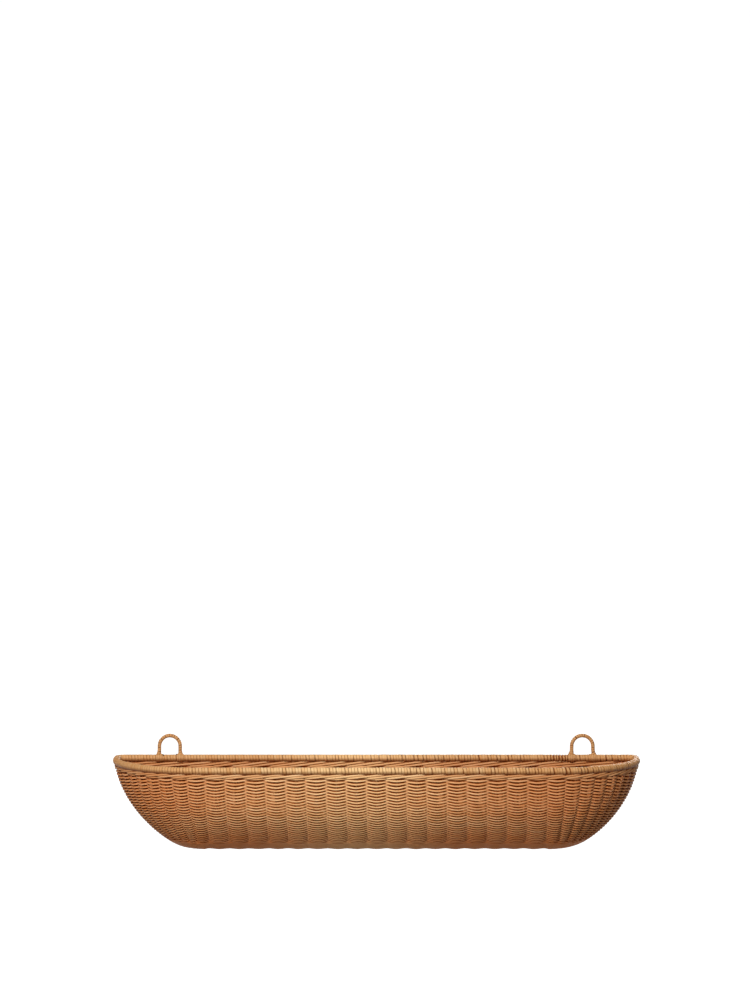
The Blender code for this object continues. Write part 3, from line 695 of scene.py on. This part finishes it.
def back_rows():
    """Weavers of the back, of its rounded foot and of the base, from the top of the back down.

    The rows of the base's front edge have a lining too, which comes last. The second value says
    how many of the rows are on the back.
    """
    levels = np.linspace(0, 1, EDGE_POINTS)
    edges = [wall(side * LAST_TURN, levels) for side in (-1, 1)]
    base_edge = wall(np.linspace(STRAIGHT_HALF, LAST_TURN, BASE_EDGE_POINTS), 0.0)
    top = RIM_HEIGHT - FILLER_TOP
    filler = round((WEAVE_TOP - FILLER_TOP) / BACK_ROW_PITCH)
    straight = top - HALF_WALL - STAKE_BEND_RADIUS
    bend = STAKE_BEND_RADIUS * math.pi / 2
    flat = BASE_DEPTH - HALF_WALL - STAKE_BEND_RADIUS
    whole = straight + bend + flat
    count = round(whole / BACK_ROW_PITCH)
    rows, lining = [], []
    for number in range(count):
        way = (number + 0.5) / count * whole
        angle = min(max((way - straight) / STAKE_BEND_RADIUS, 0), math.pi / 2)
        d = HALF_WALL + STAKE_BEND_RADIUS * (1 - math.cos(angle)) + max(way - straight - bend, 0)
        z = top - min(way, straight) - STAKE_BEND_RADIUS * math.sin(angle)
        if way < straight:
            left, right = (np.interp(z, edge[:, 2], edge[:, 0]) for edge in edges)
        else:
            right = np.interp(-d, base_edge[:, 1] - DEPTH / 2, base_edge[:, 0])
            left = -right
        out = np.array((0, math.cos(angle), -math.sin(angle)))
        up = np.array((0, math.sin(angle), math.cos(angle)))
        extras = BACK_EXTRAS[BACK_EXTRAS < right - EXTRA_CLEAR]
        stakes = np.concatenate((
            [left + CORNER_STAKE_IN], -extras[::-1], CROSS, extras, [right - CORNER_STAKE_IN],
        ))
        phase, knots = phases(len(stakes))
        knots_x = np.concatenate(([left - ROW_END_OUT], stakes, [right + ROW_END_OUT]))
        points = place(np.interp(phase, knots, knots_x), d, z)
        last = len(stakes) - 1
        row = BACK_NUMBER + number + len(extras)
        proud = FOOT_PROUD * float(smooth(1 - (count - 1 - number) / BASE_PROUD_ROWS))
        swing, drop = swing_and_drop(proud, number / filler)
        rows.append(weaver(points, out, up, phase, last, row, swing, proud, drop))
        if proud > LINING_FROM:
            row = row + BASE_LINING_NUMBER
            lining.append(weaver(points, out, up, phase, last, row, swing, -proud, drop))
    return rows + lining, round(straight / whole * count)


def stake_paths():
    """Cross stakes, end stakes and the short stakes of the back."""
    paths = []
    top = RIM_HEIGHT - STAKE_TOP
    rises = rises_at(STAKE_TURNS, lambda whole: np.linspace(0, whole - STAKE_TOP, STAKE_POINTS))
    for number, (turn, rise) in enumerate(zip(STAKE_TURNS, rises.T)):
        points = wall(turn, rise)
        foot, head = points[0], points[-1]
        if abs(turn) < END_TURNS[0]:
            angles = np.linspace(0, math.pi / 2, STAKE_BEND_POINTS)
            bend = place(
                turn,
                HALF_WALL + STAKE_BEND_RADIUS * (1 - np.cos(angles)),
                HALF_WALL + STAKE_BEND_RADIUS * (1 - np.sin(angles)),
            )
            heights = np.linspace(top, bend[0, 2], BACK_STAKE_POINTS)[:-1]
            points = np.concatenate((place(turn, HALF_WALL, heights), bend, points))
        elif abs(turn) < CORNER_TURN:
            inward = unit(foot[:2] - head[:2]) * STAKE_TAIL
            points = np.concatenate(([foot + np.append(inward, 0)], points))
        across = np.cross(unit(np.gradient(points, axis=0)), unit(np.cross(head - foot, UP)))
        paths.append(path(points, unit(across), 0.0, STAKE_NUMBER + number))
    edge = wall(LAST_TURN, np.linspace(0, 1, EDGE_POINTS))
    for number, x in enumerate(np.concatenate((-BACK_EXTRAS, BACK_EXTRAS))):
        foot = np.interp(abs(x) + STAKE_RADIUS, edge[:, 0], edge[:, 2])
        points = place(x, HALF_WALL, np.linspace(foot, top, BACK_STAKE_POINTS))
        paths.append(path(points, BACKWARDS, 0.0, EXTRA_NUMBER + number))
    return paths


def wale_way(whole):
    """Length along the wall at which the wale lies."""
    return np.array([whole - WALE_DROP])


def softened(values):
    """Running mean of values."""
    padded = np.pad(values, WALE_SOFTENING // 2, mode="edge")
    return np.convolve(padded, np.ones(WALE_SOFTENING) / WALE_SOFTENING, mode="valid")


def wale_paths():
    """Three strands right round under the rim, each before two stakes and behind one.

    On the back they are turned over, so that the long stretches lie inside the basket there too.
    """
    back = np.concatenate((BACK_EXTRAS[::-1], CROSS[::-1], -BACK_EXTRAS))
    total = len(STAKE_TURNS) + len(back)
    phase = np.arange(0, total * WALE_STEPS + 1) / WALE_STEPS
    knots = np.arange(-1, total + 2)
    half_back = wall(LAST_TURN, rises_at([LAST_TURN], wale_way)[0, 0])[0]
    around = 2 * (LAST_TURN + half_back)
    turns = np.concatenate((STAKE_TURNS, LAST_TURN + half_back - back))
    turns = np.concatenate(([turns[-1] - around], turns, [turns[0] + around, turns[1] + around]))
    turn = np.interp(phase, knots, turns)
    before = np.where(turn > around - LAST_TURN, turn - around, turn)
    on_wall = np.minimum(before, LAST_TURN)
    points, out, _ = wall_frame(on_wall, rises_at(on_wall, wale_way)[0])
    out = unit(out * np.array((1, 1, 0)))
    points[:, 0] -= before - on_wall
    out[before > LAST_TURN] = BACKWARDS
    into_back = np.minimum(turn - LAST_TURN, around - LAST_TURN - turn)
    face = np.interp(into_back, (-WALE_CROSSING, WALE_CROSSING), (1, -1))
    points = points - UP * (BACK_WALE_DROP * (1 - face) / 2)[:, None]
    most = WALE_SWAY * np.interp(face, (-1, 1), (BACK_WALE_SWAY, 1))
    paths = []
    for strand in range(WALE_STRANDS):
        beat = (phase + strand) % WALE_STRANDS
        side = softened(np.interp(beat, *WALE_SIDES_BY_BEAT)) * face
        sway = softened(np.interp(beat, *WALE_SWAYS_BY_BEAT)) * face * most
        paths.append(path(points + UP * sway[:, None], out, side, WALE_NUMBER + strand))
    return paths


# Windings

def line_at(line, length):
    """Points and directions on a line of points at given lengths along it."""
    lengths = run_lengths(line)
    directions = unit(np.gradient(line, lengths, axis=0))
    points, ways = (
        np.stack([np.interp(length, lengths, values[:, axis]) for axis in range(3)], axis=1)
        for values in (line, directions)
    )
    return points, unit(ways)


def wound(line, side, radius, pitch, seed, jitter, lift, laps=None, calm=None):
    """Path of a strip wound round a line of points.

    Its laps are uneven by the jitter in width and by the lift in height. The radius may follow the
    share of the line, and calm says how quiet the laps are at a place.
    """
    whole = run_lengths(line)[-1]
    length_used = laps * pitch if laps else whole
    count = laps or whole / pitch
    lap = np.linspace(0, count, int(count * LAP_STEPS) + 1)
    random = np.random.default_rng(seed)
    numbers = np.arange(int(count) + 3)
    shift, raised = (
        np.interp(lap, numbers, random.uniform(-1, 1, len(numbers))) for _ in range(2)
    )
    length = lap / count * length_used + (whole - length_used) / 2
    if calm:
        quiet = calm(line_at(line, length)[0])
        shift, raised = shift * quiet, raised * quiet
    fade = np.clip(np.minimum(lap, count - lap), 0, 1)
    length = np.clip(length + shift * pitch * jitter * fade, 0, whole)
    points, ways = line_at(line, length)
    across = unit(np.cross(ways, side))
    angle = 2 * math.pi * lap
    spoke = across * -np.sin(angle)[:, None] - side * np.cos(angle)[:, None]
    reach = (radius(length / whole) if callable(radius) else radius) + raised * lift
    points = points + spoke * reach[:, None]
    points[:, 1] = np.minimum(points[:, 1], DEPTH / 2 - LOOP_PEEL_HALF)
    return path(points, spoke, 0.0, lap + seed * LAP_NUMBERS)


def rim_line():
    """Middle line of the rim, once round from the middle of the back."""
    end_x, end_d, _ = end_place(np.linspace(math.pi / 2, 0, RIM_END_POINTS), 1.0)
    bend = np.linspace(0, math.pi / 2, RIM_BEND_POINTS)[1:]
    x = np.concatenate((end_x, RIM_HALF - CORNER_RADIUS * (1 - np.cos(bend))))
    d = np.concatenate((end_d, END_CENTRE - (END_CENTRE - RIM_RADIUS) * np.sin(bend)))
    front = np.linspace(-STRAIGHT_HALF, STRAIGHT_HALF, RIM_FRONT_POINTS)[1:-1]
    front_d = np.full(len(front), RIM_FRONT)
    back_half = RIM_HALF - CORNER_RADIUS
    back = back_half * np.linspace(0, 1, RIM_BACK_POINTS)
    back_d = np.full(RIM_BACK_POINTS - 1, RIM_RADIUS)
    around_x = np.concatenate((-back[:-1], -x[::-1], front, x, back_half - back[1:]))
    around_d = np.concatenate((back_d, d[::-1], front_d, d, back_d))
    return place(around_x, around_d, RIM_HEIGHT)


def loop_line(middle, half, flares):
    """Line of a loop from foot to foot over the arch. Each foot stands out by its flare."""
    spring = LOOP_TOP - half
    foot = RIM_HEIGHT + WINDING_RADIUS - LOOP_SEAT
    angles = np.linspace(math.pi, 0, ARCH_POINTS)
    rise = np.linspace(0, 1, LEG_POINTS)[:-1]
    leg = foot + (spring - foot) * rise
    z = np.concatenate((leg, spring + half * np.sin(angles), leg[::-1]))
    left, right = (flare * (1 - rise) ** 3 for flare in flares)
    x = np.concatenate((-half - left, half * np.cos(angles), half + right[::-1]))
    return place(middle + x, RIM_RADIUS, z)


# Finishes

def colour_of(red, green, blue):
    """Linear colour of a screen colour."""
    linear = (
        share / 12.92 if share <= 0.04045 else ((share + 0.055) / 1.055) ** 2.4
        for share in (red / 255, green / 255, blue / 255)
    )
    return (*linear, 1)


def emptied(owner):
    """Bench on the node tree of a new material or world."""
    owner.use_nodes = True
    owner.node_tree.nodes.clear()
    return Bench(owner.node_tree)


def finish(name, colours, patch, roughness, gloss, edge, depth=0.0, shaded=0.0):
    """Cane or peel: a tone for each strand, lengthwise fibres, flecks, patches, and flanks
    darkened by painted shade.

    The colours are light, dark, the browner one of painted shade, and the dark one of painted
    shade in the seams, which the flecks have too. Patch says how small the patches are, edge how
    dark the painted shade on the flanks is, depth how dark the painted shade is on the face that a
    weaver turns to the stakes, and shaded how dark the painted shade on the peel is under the rim.
    Painted shade makes the cane browner at the foot, at the ends, on the right and behind, and
    painted light makes a stretch left of the middle lighter.
    """
    light, dark, brown_shade, shade_and_fleck = (colour_of(*each) for each in colours)
    deep_shade = (*(SEAM_LEFT * value for value in shade_and_fleck[:3]), 1)
    made = bpy.data.materials.new(name)
    bench = emptied(made)
    strand = bench.add("ShaderNodeAttribute", attribute_name="strand").out("Fac")
    side = bench.add("ShaderNodeAttribute", attribute_name="side").out("Fac")
    spot = bench.add("ShaderNodeTexCoord").out("Object")
    x = bench.add("ShaderNodeSeparateXYZ", {0: spot})
    height = x.out("Z")
    along = bench.add("ShaderNodeSeparateXYZ", {0: bench.add("ShaderNodeUVMap", uv_map="UVMap")})
    ring = bench.add("ShaderNodeAttribute", output="Vector", attribute_name="ring")
    facing = bench.add("ShaderNodeSeparateXYZ", {0: ring})
    across = facing.out("Y")
    number = bench.add("ShaderNodeMath", {0: strand}, operation="FLOOR")
    tone = bench.add("ShaderNodeTexWhiteNoise", {"W": number}, noise_dimensions="1D")

    def streaks(stretch, spread, step, detail):
        grain = bench.add("ShaderNodeCombineXYZ", {
            "X": along * stretch, "Y": facing * spread, "Z": across * spread,
        })
        return bench.noise(grain, number * step, 1.0, detail)

    patches = bench.noise(spot, number * PATCH_STEP, patch, PATCH_DETAIL)
    fibre = streaks(**FIBRES)
    fleck = bench.between(streaks(**FLECKS), FLECK_ZONE)
    lightness = tone * TONE_SHARE + patches * PATCH_SHARE + fibre * FIBRE_SHARE
    colour = bench.mix(bench.between(lightness, LIGHT_ZONE), dark, light)

    off_centre = bench.absolute(x)
    # Painted shade: browner and darker at the foot, at the ends, on the right and behind, where
    # the basket lies in shade
    end = bench.larger(
        bench.between(off_centre, END_ZONE) * END_SHARE, bench.between(x, RIGHT_ZONE) * RIGHT_SHARE
    )
    behind = bench.between(x.out("Y"), BEHIND_ZONE) * BEHIND_SHARE
    brown_shade_here = bench.larger(bench.between(height, FOOT_ZONE), bench.larger(end, behind))
    colour = bench.mix(brown_shade_here * BROWN_SHADE_SHARE, colour, brown_shade)
    # Painted light: a lighter stretch left of the middle, where the light falls most
    off_light_pool = bench.absolute(x + PAINTED_LIGHT_LEFT)
    light_pool = bench.between(off_light_pool, PAINTED_LIGHT_ZONE) * PAINTED_LIGHT_SHARE
    colour = bench.mix(light_pool, colour, colour_of(*PAINTED_LIGHT_COLOUR))
    # Painted shade: the peel darker and browner on the rim's underside
    colour = bench.mix(bench.between(height, UNDER_ZONE) * shaded, colour, shade_and_fleck)

    # Painted shade in the seams: on the flanks that face up and down, wider and darker in the
    # lower wall away from the ends
    lower = bench.between(height, SEAM_TOP_ZONE) * bench.between(height, SEAM_FOOT_ZONE)
    lower = lower * bench.between(off_centre, SEAM_END_ZONE)
    flank = bench.between(across * across + lower * SEAM_WIDER, FLANK_ZONE) * edge
    # Painted shade on the face that a weaver turns to the stakes, deep in the weave
    deep = bench.between(side * facing, DEPTH_ZONE) * depth
    crease_shade = bench.mix(lower * SEAM_DARKER, shade_and_fleck, deep_shade)
    colour = bench.mix(bench.larger(flank, deep), colour, crease_shade)
    colour = bench.mix(fleck * FLECK_SHARE, colour, shade_and_fleck)
    rough = bench.between(fibre, ROUGH_ZONE) * ROUGH_MORE + roughness
    bump = bench.add("ShaderNodeBump", {
        "Strength": BUMP_STRENGTH, "Distance": BUMP_HEIGHT, "Height": fibre,
    })
    shader = bench.add("ShaderNodeBsdfPrincipled", {
        "Base Color": colour, "Roughness": rough, "Normal": bump, "Specular IOR Level": gloss,
    })
    bench.add("ShaderNodeOutputMaterial", {"Surface": shader})
    return made


def nail_steel():
    """Dark nail steel with rubbed spots."""
    made = bpy.data.materials.new("tack_steel")
    bench = emptied(made)
    spot = bench.add("ShaderNodeTexCoord").out("Object")
    rub = bench.add("ShaderNodeTexNoise", {
        "Vector": spot, "Scale": RUB_SCALE, "Detail": RUB_DETAIL,
    })
    shader = bench.add("ShaderNodeBsdfPrincipled", {
        "Base Color": bench.mix(bench.between(rub, RUB_ZONE), STEEL_DARK, STEEL_RUBBED),
        "Roughness": rub * STEEL_ROUGH_MORE + STEEL_ROUGH, "Metallic": STEEL_METALLIC,
    })
    bench.add("ShaderNodeOutputMaterial", {"Surface": shader})
    return made


# Colours of each finish: light, dark, the browner one of painted shade, and the dark one of
# painted shade in the seams, which the flecks have too
weave_finish = finish(
    "woven_cane", ((251, 201, 146), (224, 154, 92), (196, 114, 62), (156, 72, 12)),
    patch=26.0, roughness=0.46, gloss=0.07, edge=1.0, depth=0.9,
)
wale_finish = finish(
    "wale_cane", ((237, 193, 142), (204, 142, 88), (182, 112, 62), (164, 80, 18)),
    patch=26.0, roughness=0.48, gloss=0.05, edge=1.0, depth=0.6,
)
# The stakes are the weavers' cane painted darker: painted shade for the gaps between the rows
# where they show
stake_shade_finish = finish(
    "stake_cane_in_shade", ((150, 84, 34), (122, 62, 20), (120, 58, 20), (84, 38, 10)),
    patch=26.0, roughness=0.50, gloss=0.15, edge=0.6,
)
peel_finish = finish(
    "cane_peel", ((217, 178, 127), (205, 152, 95), (186, 128, 74), (120, 56, 8)),
    patch=22.0, roughness=0.42, gloss=0.15, edge=0.68, shaded=0.85,
)
tack_steel = nail_steel()


# Pieces

def build():
    """Make every piece of the basket."""
    def woven(name, material, paths, node, **sizes):
        swept(name, "woven_cane", material, paths, [node], **sizes)

    rows, lining = wall_rows()
    labels = ("lower", "middle", "upper")
    bands = np.linspace(0, len(rows), len(labels) + 1).round().astype(int)
    for label, first, stop in zip(labels, bands, bands[1:]):
        woven(f"front_weave_{label}", weave_finish, rows[first:stop], "front_weave", **WEAVE)
    woven("front_weave_lining", weave_finish, lining, "front_weave", **WEAVE)
    flat_rows, split = back_rows()
    flat_weave = {**WEAVE, "Half width": BACK_HALF_TALL}
    woven("back_rows", weave_finish, flat_rows[:split], "back_weave", **flat_weave)
    woven("base_rows", weave_finish, flat_rows[split:], "base_weave", **flat_weave)

    stakes = [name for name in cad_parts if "stake" in name]
    round_stake = section(STAKE_RADIUS, STAKE_RADIUS)
    swept("stakes", "cane", stake_shade_finish, stake_paths(), stakes, **round_stake)
    flat_cane = section(WALE_HALF_THICK, WALE_HALF_TALL)
    woven("wale", wale_finish, wale_paths(), "wale_band", **flat_cane, **WALE)
    wind_rim()
    for label in LOOPS:
        make_loop(label, **LOOPS[label])
    for name, lean in TACK_LEANS.items():
        tack(name, lean)
    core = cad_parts["rim_core"]
    core.data.materials.clear()
    core.data.materials.append(stake_shade_finish)


def wind_rim():
    """Peel wound round the rim pole, in two pieces.

    It is quieter on the left, and narrower where it is slack or has slipped together.
    """
    def calm(points):
        return np.interp(points[:, 0], *RIM_CALM)

    rim = wound(rim_line(), UP, WINDING_RADIUS - RIM_PEEL_HALF, RIM_PEEL_WIDTH, RIM_SEED,
                RIM_JITTER, RIM_LIFT, calm=calm)
    x, y, _ = rim["points"].T
    lap = rim["strand"] - rim["strand"][0]
    slack = np.random.default_rng(SLACK_SEED).uniform(0, 1, int(lap[-1]) + 2)
    slack = np.interp(lap, np.arange(len(slack)), slack) ** 2 * np.interp(x, *SLACK)
    slipped = np.interp(x, *SLIPPED) * (y > 0)
    rim["side"] = np.maximum(slack, slipped)
    half = len(rim["points"]) // 2
    peel = {**section(RIM_PEEL_HALF, RIM_PEEL_WIDTH * RIM_OVERLAP), "Swell": RIM_SWELL}
    for name, first, stop in (("left", 0, half + 1), ("right", half, None)):
        cut = {key: value[first:stop] for key, value in rim.items()}
        swept(f"rim_winding_{name}", "cane_peel", peel_finish, [cut], ["rim_wrap"], **peel)


def make_loop(label, middle, half, flares, bulges, shoulders, feet, seed):
    """Hanging loop: cane, winding, and the turns of peel that lash each foot to the rim.

    The winding bulges at the feet, and the turns have shoulders.
    """
    line = loop_line(middle, half, flares)
    swept(f"{label}_loop_cane", "cane", stake_shade_finish, [path(line, BACKWARDS, 0.0, LOOP_NUMBER)],
          [f"{label}_loop_core"], **section(LOOP_CORE_RADIUS, LOOP_CORE_RADIUS))

    def thickness(share):
        left, right = (
            bulge * np.clip(1 - from_foot / BULGE_SHARE, 0, 1) ** 2
            for bulge, from_foot in zip(bulges, (share, 1 - share))
        )
        return LOOP_RADIUS - LOOP_PEEL_HALF + left + right

    winding = wound(line, BACKWARDS, thickness, LOOP_PEEL_WIDTH, seed, LOOP_JITTER, LOOP_LIFT)
    swept(f"{label}_loop_winding", "cane_peel", peel_finish, [winding], [f"{label}_loop_wrap"],
          **section(LOOP_PEEL_HALF, LOOP_PEEL_WIDTH * LOOP_OVERLAP))
    for foot, x, shoulder in zip(feet, (middle - half, middle + half), shoulders):
        def around(share, shoulder=shoulder):
            return WINDING_RADIUS + LASHING_OVER + shoulder * np.sin(math.pi * share)

        span = np.linspace(x - LASHING_HALF, x + LASHING_HALF, LASHING_POINTS)
        turns = wound(place(span, RIM_RADIUS, RIM_HEIGHT), UP, around, LASHING_PITCH, LASHING_SEED,
                      LOOP_JITTER, LASHING_LIFT, laps=LASHING_LAPS)
        swept(f"{label}_loop_{foot}_turns", "cane_peel", peel_finish, [turns],
              [f"{label}_loop_{foot}_lashing"], **section(LASHING_HALF_THICK, LASHING_HALF_WIDE))


def leaning(x, y, z, lean):
    """Place of a point that is leant to the front about the middle of the back rim."""
    middle = DEPTH / 2 - RIM_RADIUS
    y, z = y - middle, z - RIM_HEIGHT
    return (x, middle + y * math.cos(lean) - z * math.sin(lean),
            RIM_HEIGHT + y * math.sin(lean) + z * math.cos(lean))


def tack(name, lean):
    """Nail with a domed head in the rim, just inside a foot of the left loop."""
    low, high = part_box(name)
    x, y = (low[0] + high[0]) / 2, (low[1] + high[1]) / 2
    seat = RIM_HEIGHT + WINDING_RADIUS
    outline = [(radius, low[2] + above) for radius, above in TACK_POINT]
    outline += [(radius, seat + above) for radius, above in TACK_HEAD]
    shell = bmesh.new()
    rings = []
    for radius, height in outline:
        count = TACK_SIDES if radius else 1
        turns = [2 * math.pi * step / count for step in range(count)]
        rings.append([
            shell.verts.new(leaning(
                x + radius * math.cos(turn), y + radius * math.sin(turn), height, lean
            ))
            for turn in turns
        ])
    for lower, upper in zip(rings, rings[1:]):
        count = max(len(lower), len(upper))
        for index in range(count):
            after = (index + 1) % count
            corners = [lower[index % len(lower)], lower[after % len(lower)],
                       upper[after % len(upper)], upper[index % len(upper)]]
            shell.faces.new(list(dict.fromkeys(corners)))
    mesh = bpy.data.meshes.new(name)
    shell.to_mesh(mesh)
    shell.free()
    mesh.shade_smooth()
    mesh.materials.append(tack_steel)
    settle(f"{name}_head", mesh, [name])


# Studio

def floor_finish():
    """Pale floor that the camera sees white, with the object's shadow kept near it."""
    made = bpy.data.materials.new("pale_floor")
    bench = emptied(made)
    rays = bench.add("ShaderNodeLightPath")
    seen = bench.larger(rays.out("Is Camera Ray"), rays.out("Is Glossy Ray"))
    away = bench.add("ShaderNodeVectorMath", {0: bench.add("ShaderNodeTexCoord").out("Object")},
                     output="Value", operation="LENGTH")
    glow = bench.between(away, FLOOR_FAR_ZONE) * FLOOR_FAR_GLOW + FLOOR_GLOW
    plain = bench.add("ShaderNodeBsdfDiffuse", {"Color": FLOOR_COLOUR})
    light = bench.add("ShaderNodeEmission", {"Color": WHITE, "Strength": seen * glow})
    both = bench.add("ShaderNodeAddShader", {0: plain, 1: light})
    bench.add("ShaderNodeOutputMaterial", {"Surface": both})
    return made


def studio():
    """Pale floor well below the hanging basket, soft light and the camera."""
    scene = bpy.context.scene
    mesh = bpy.data.meshes.new("floor")
    corners = [
        (x * FLOOR_HALF, y * FLOOR_HALF, FLOOR_Z) for x, y in ((-1, -1), (1, -1), (1, 1), (-1, 1))
    ]
    mesh.from_pydata(corners, [], [(0, 1, 2, 3)])
    mesh.materials.append(floor_finish())
    floor = bpy.data.objects.new("floor", mesh)
    bpy.context.collection.objects.link(floor)

    for name, spot, size, power in LAMPS:
        lamp = bpy.data.lights.new(name, "AREA")
        lamp.shape = "DISK"
        lamp.size = size
        lamp.energy = power
        light = bpy.data.objects.new(name, lamp)
        light.location = spot
        light.rotation_euler = (LAMP_AIM - Vector(spot)).to_track_quat("-Z", "Y").to_euler()
        bpy.context.collection.objects.link(light)

    world = bpy.data.worlds.new("studio")
    bench = emptied(world)
    seen = bench.add("ShaderNodeLightPath").out("Is Camera Ray")
    strength = seen * (WORLD_SEEN - WORLD_LIGHT) + WORLD_LIGHT
    background = bench.add("ShaderNodeBackground", {"Color": WHITE, "Strength": strength})
    bench.add("ShaderNodeOutputWorld", {"Surface": background})
    scene.world = world

    lens = bpy.data.cameras.new("camera")
    lens.lens = CAMERA_LENS
    lens.sensor_width = CAMERA_SENSOR
    camera = bpy.data.objects.new("camera", lens)
    camera.location = CAMERA_SPOT
    camera.rotation_euler = (CAMERA_TILT, 0, 0)
    bpy.context.collection.objects.link(camera)
    scene.camera = camera
    scene.view_settings.view_transform = "Standard"


build()
studio()
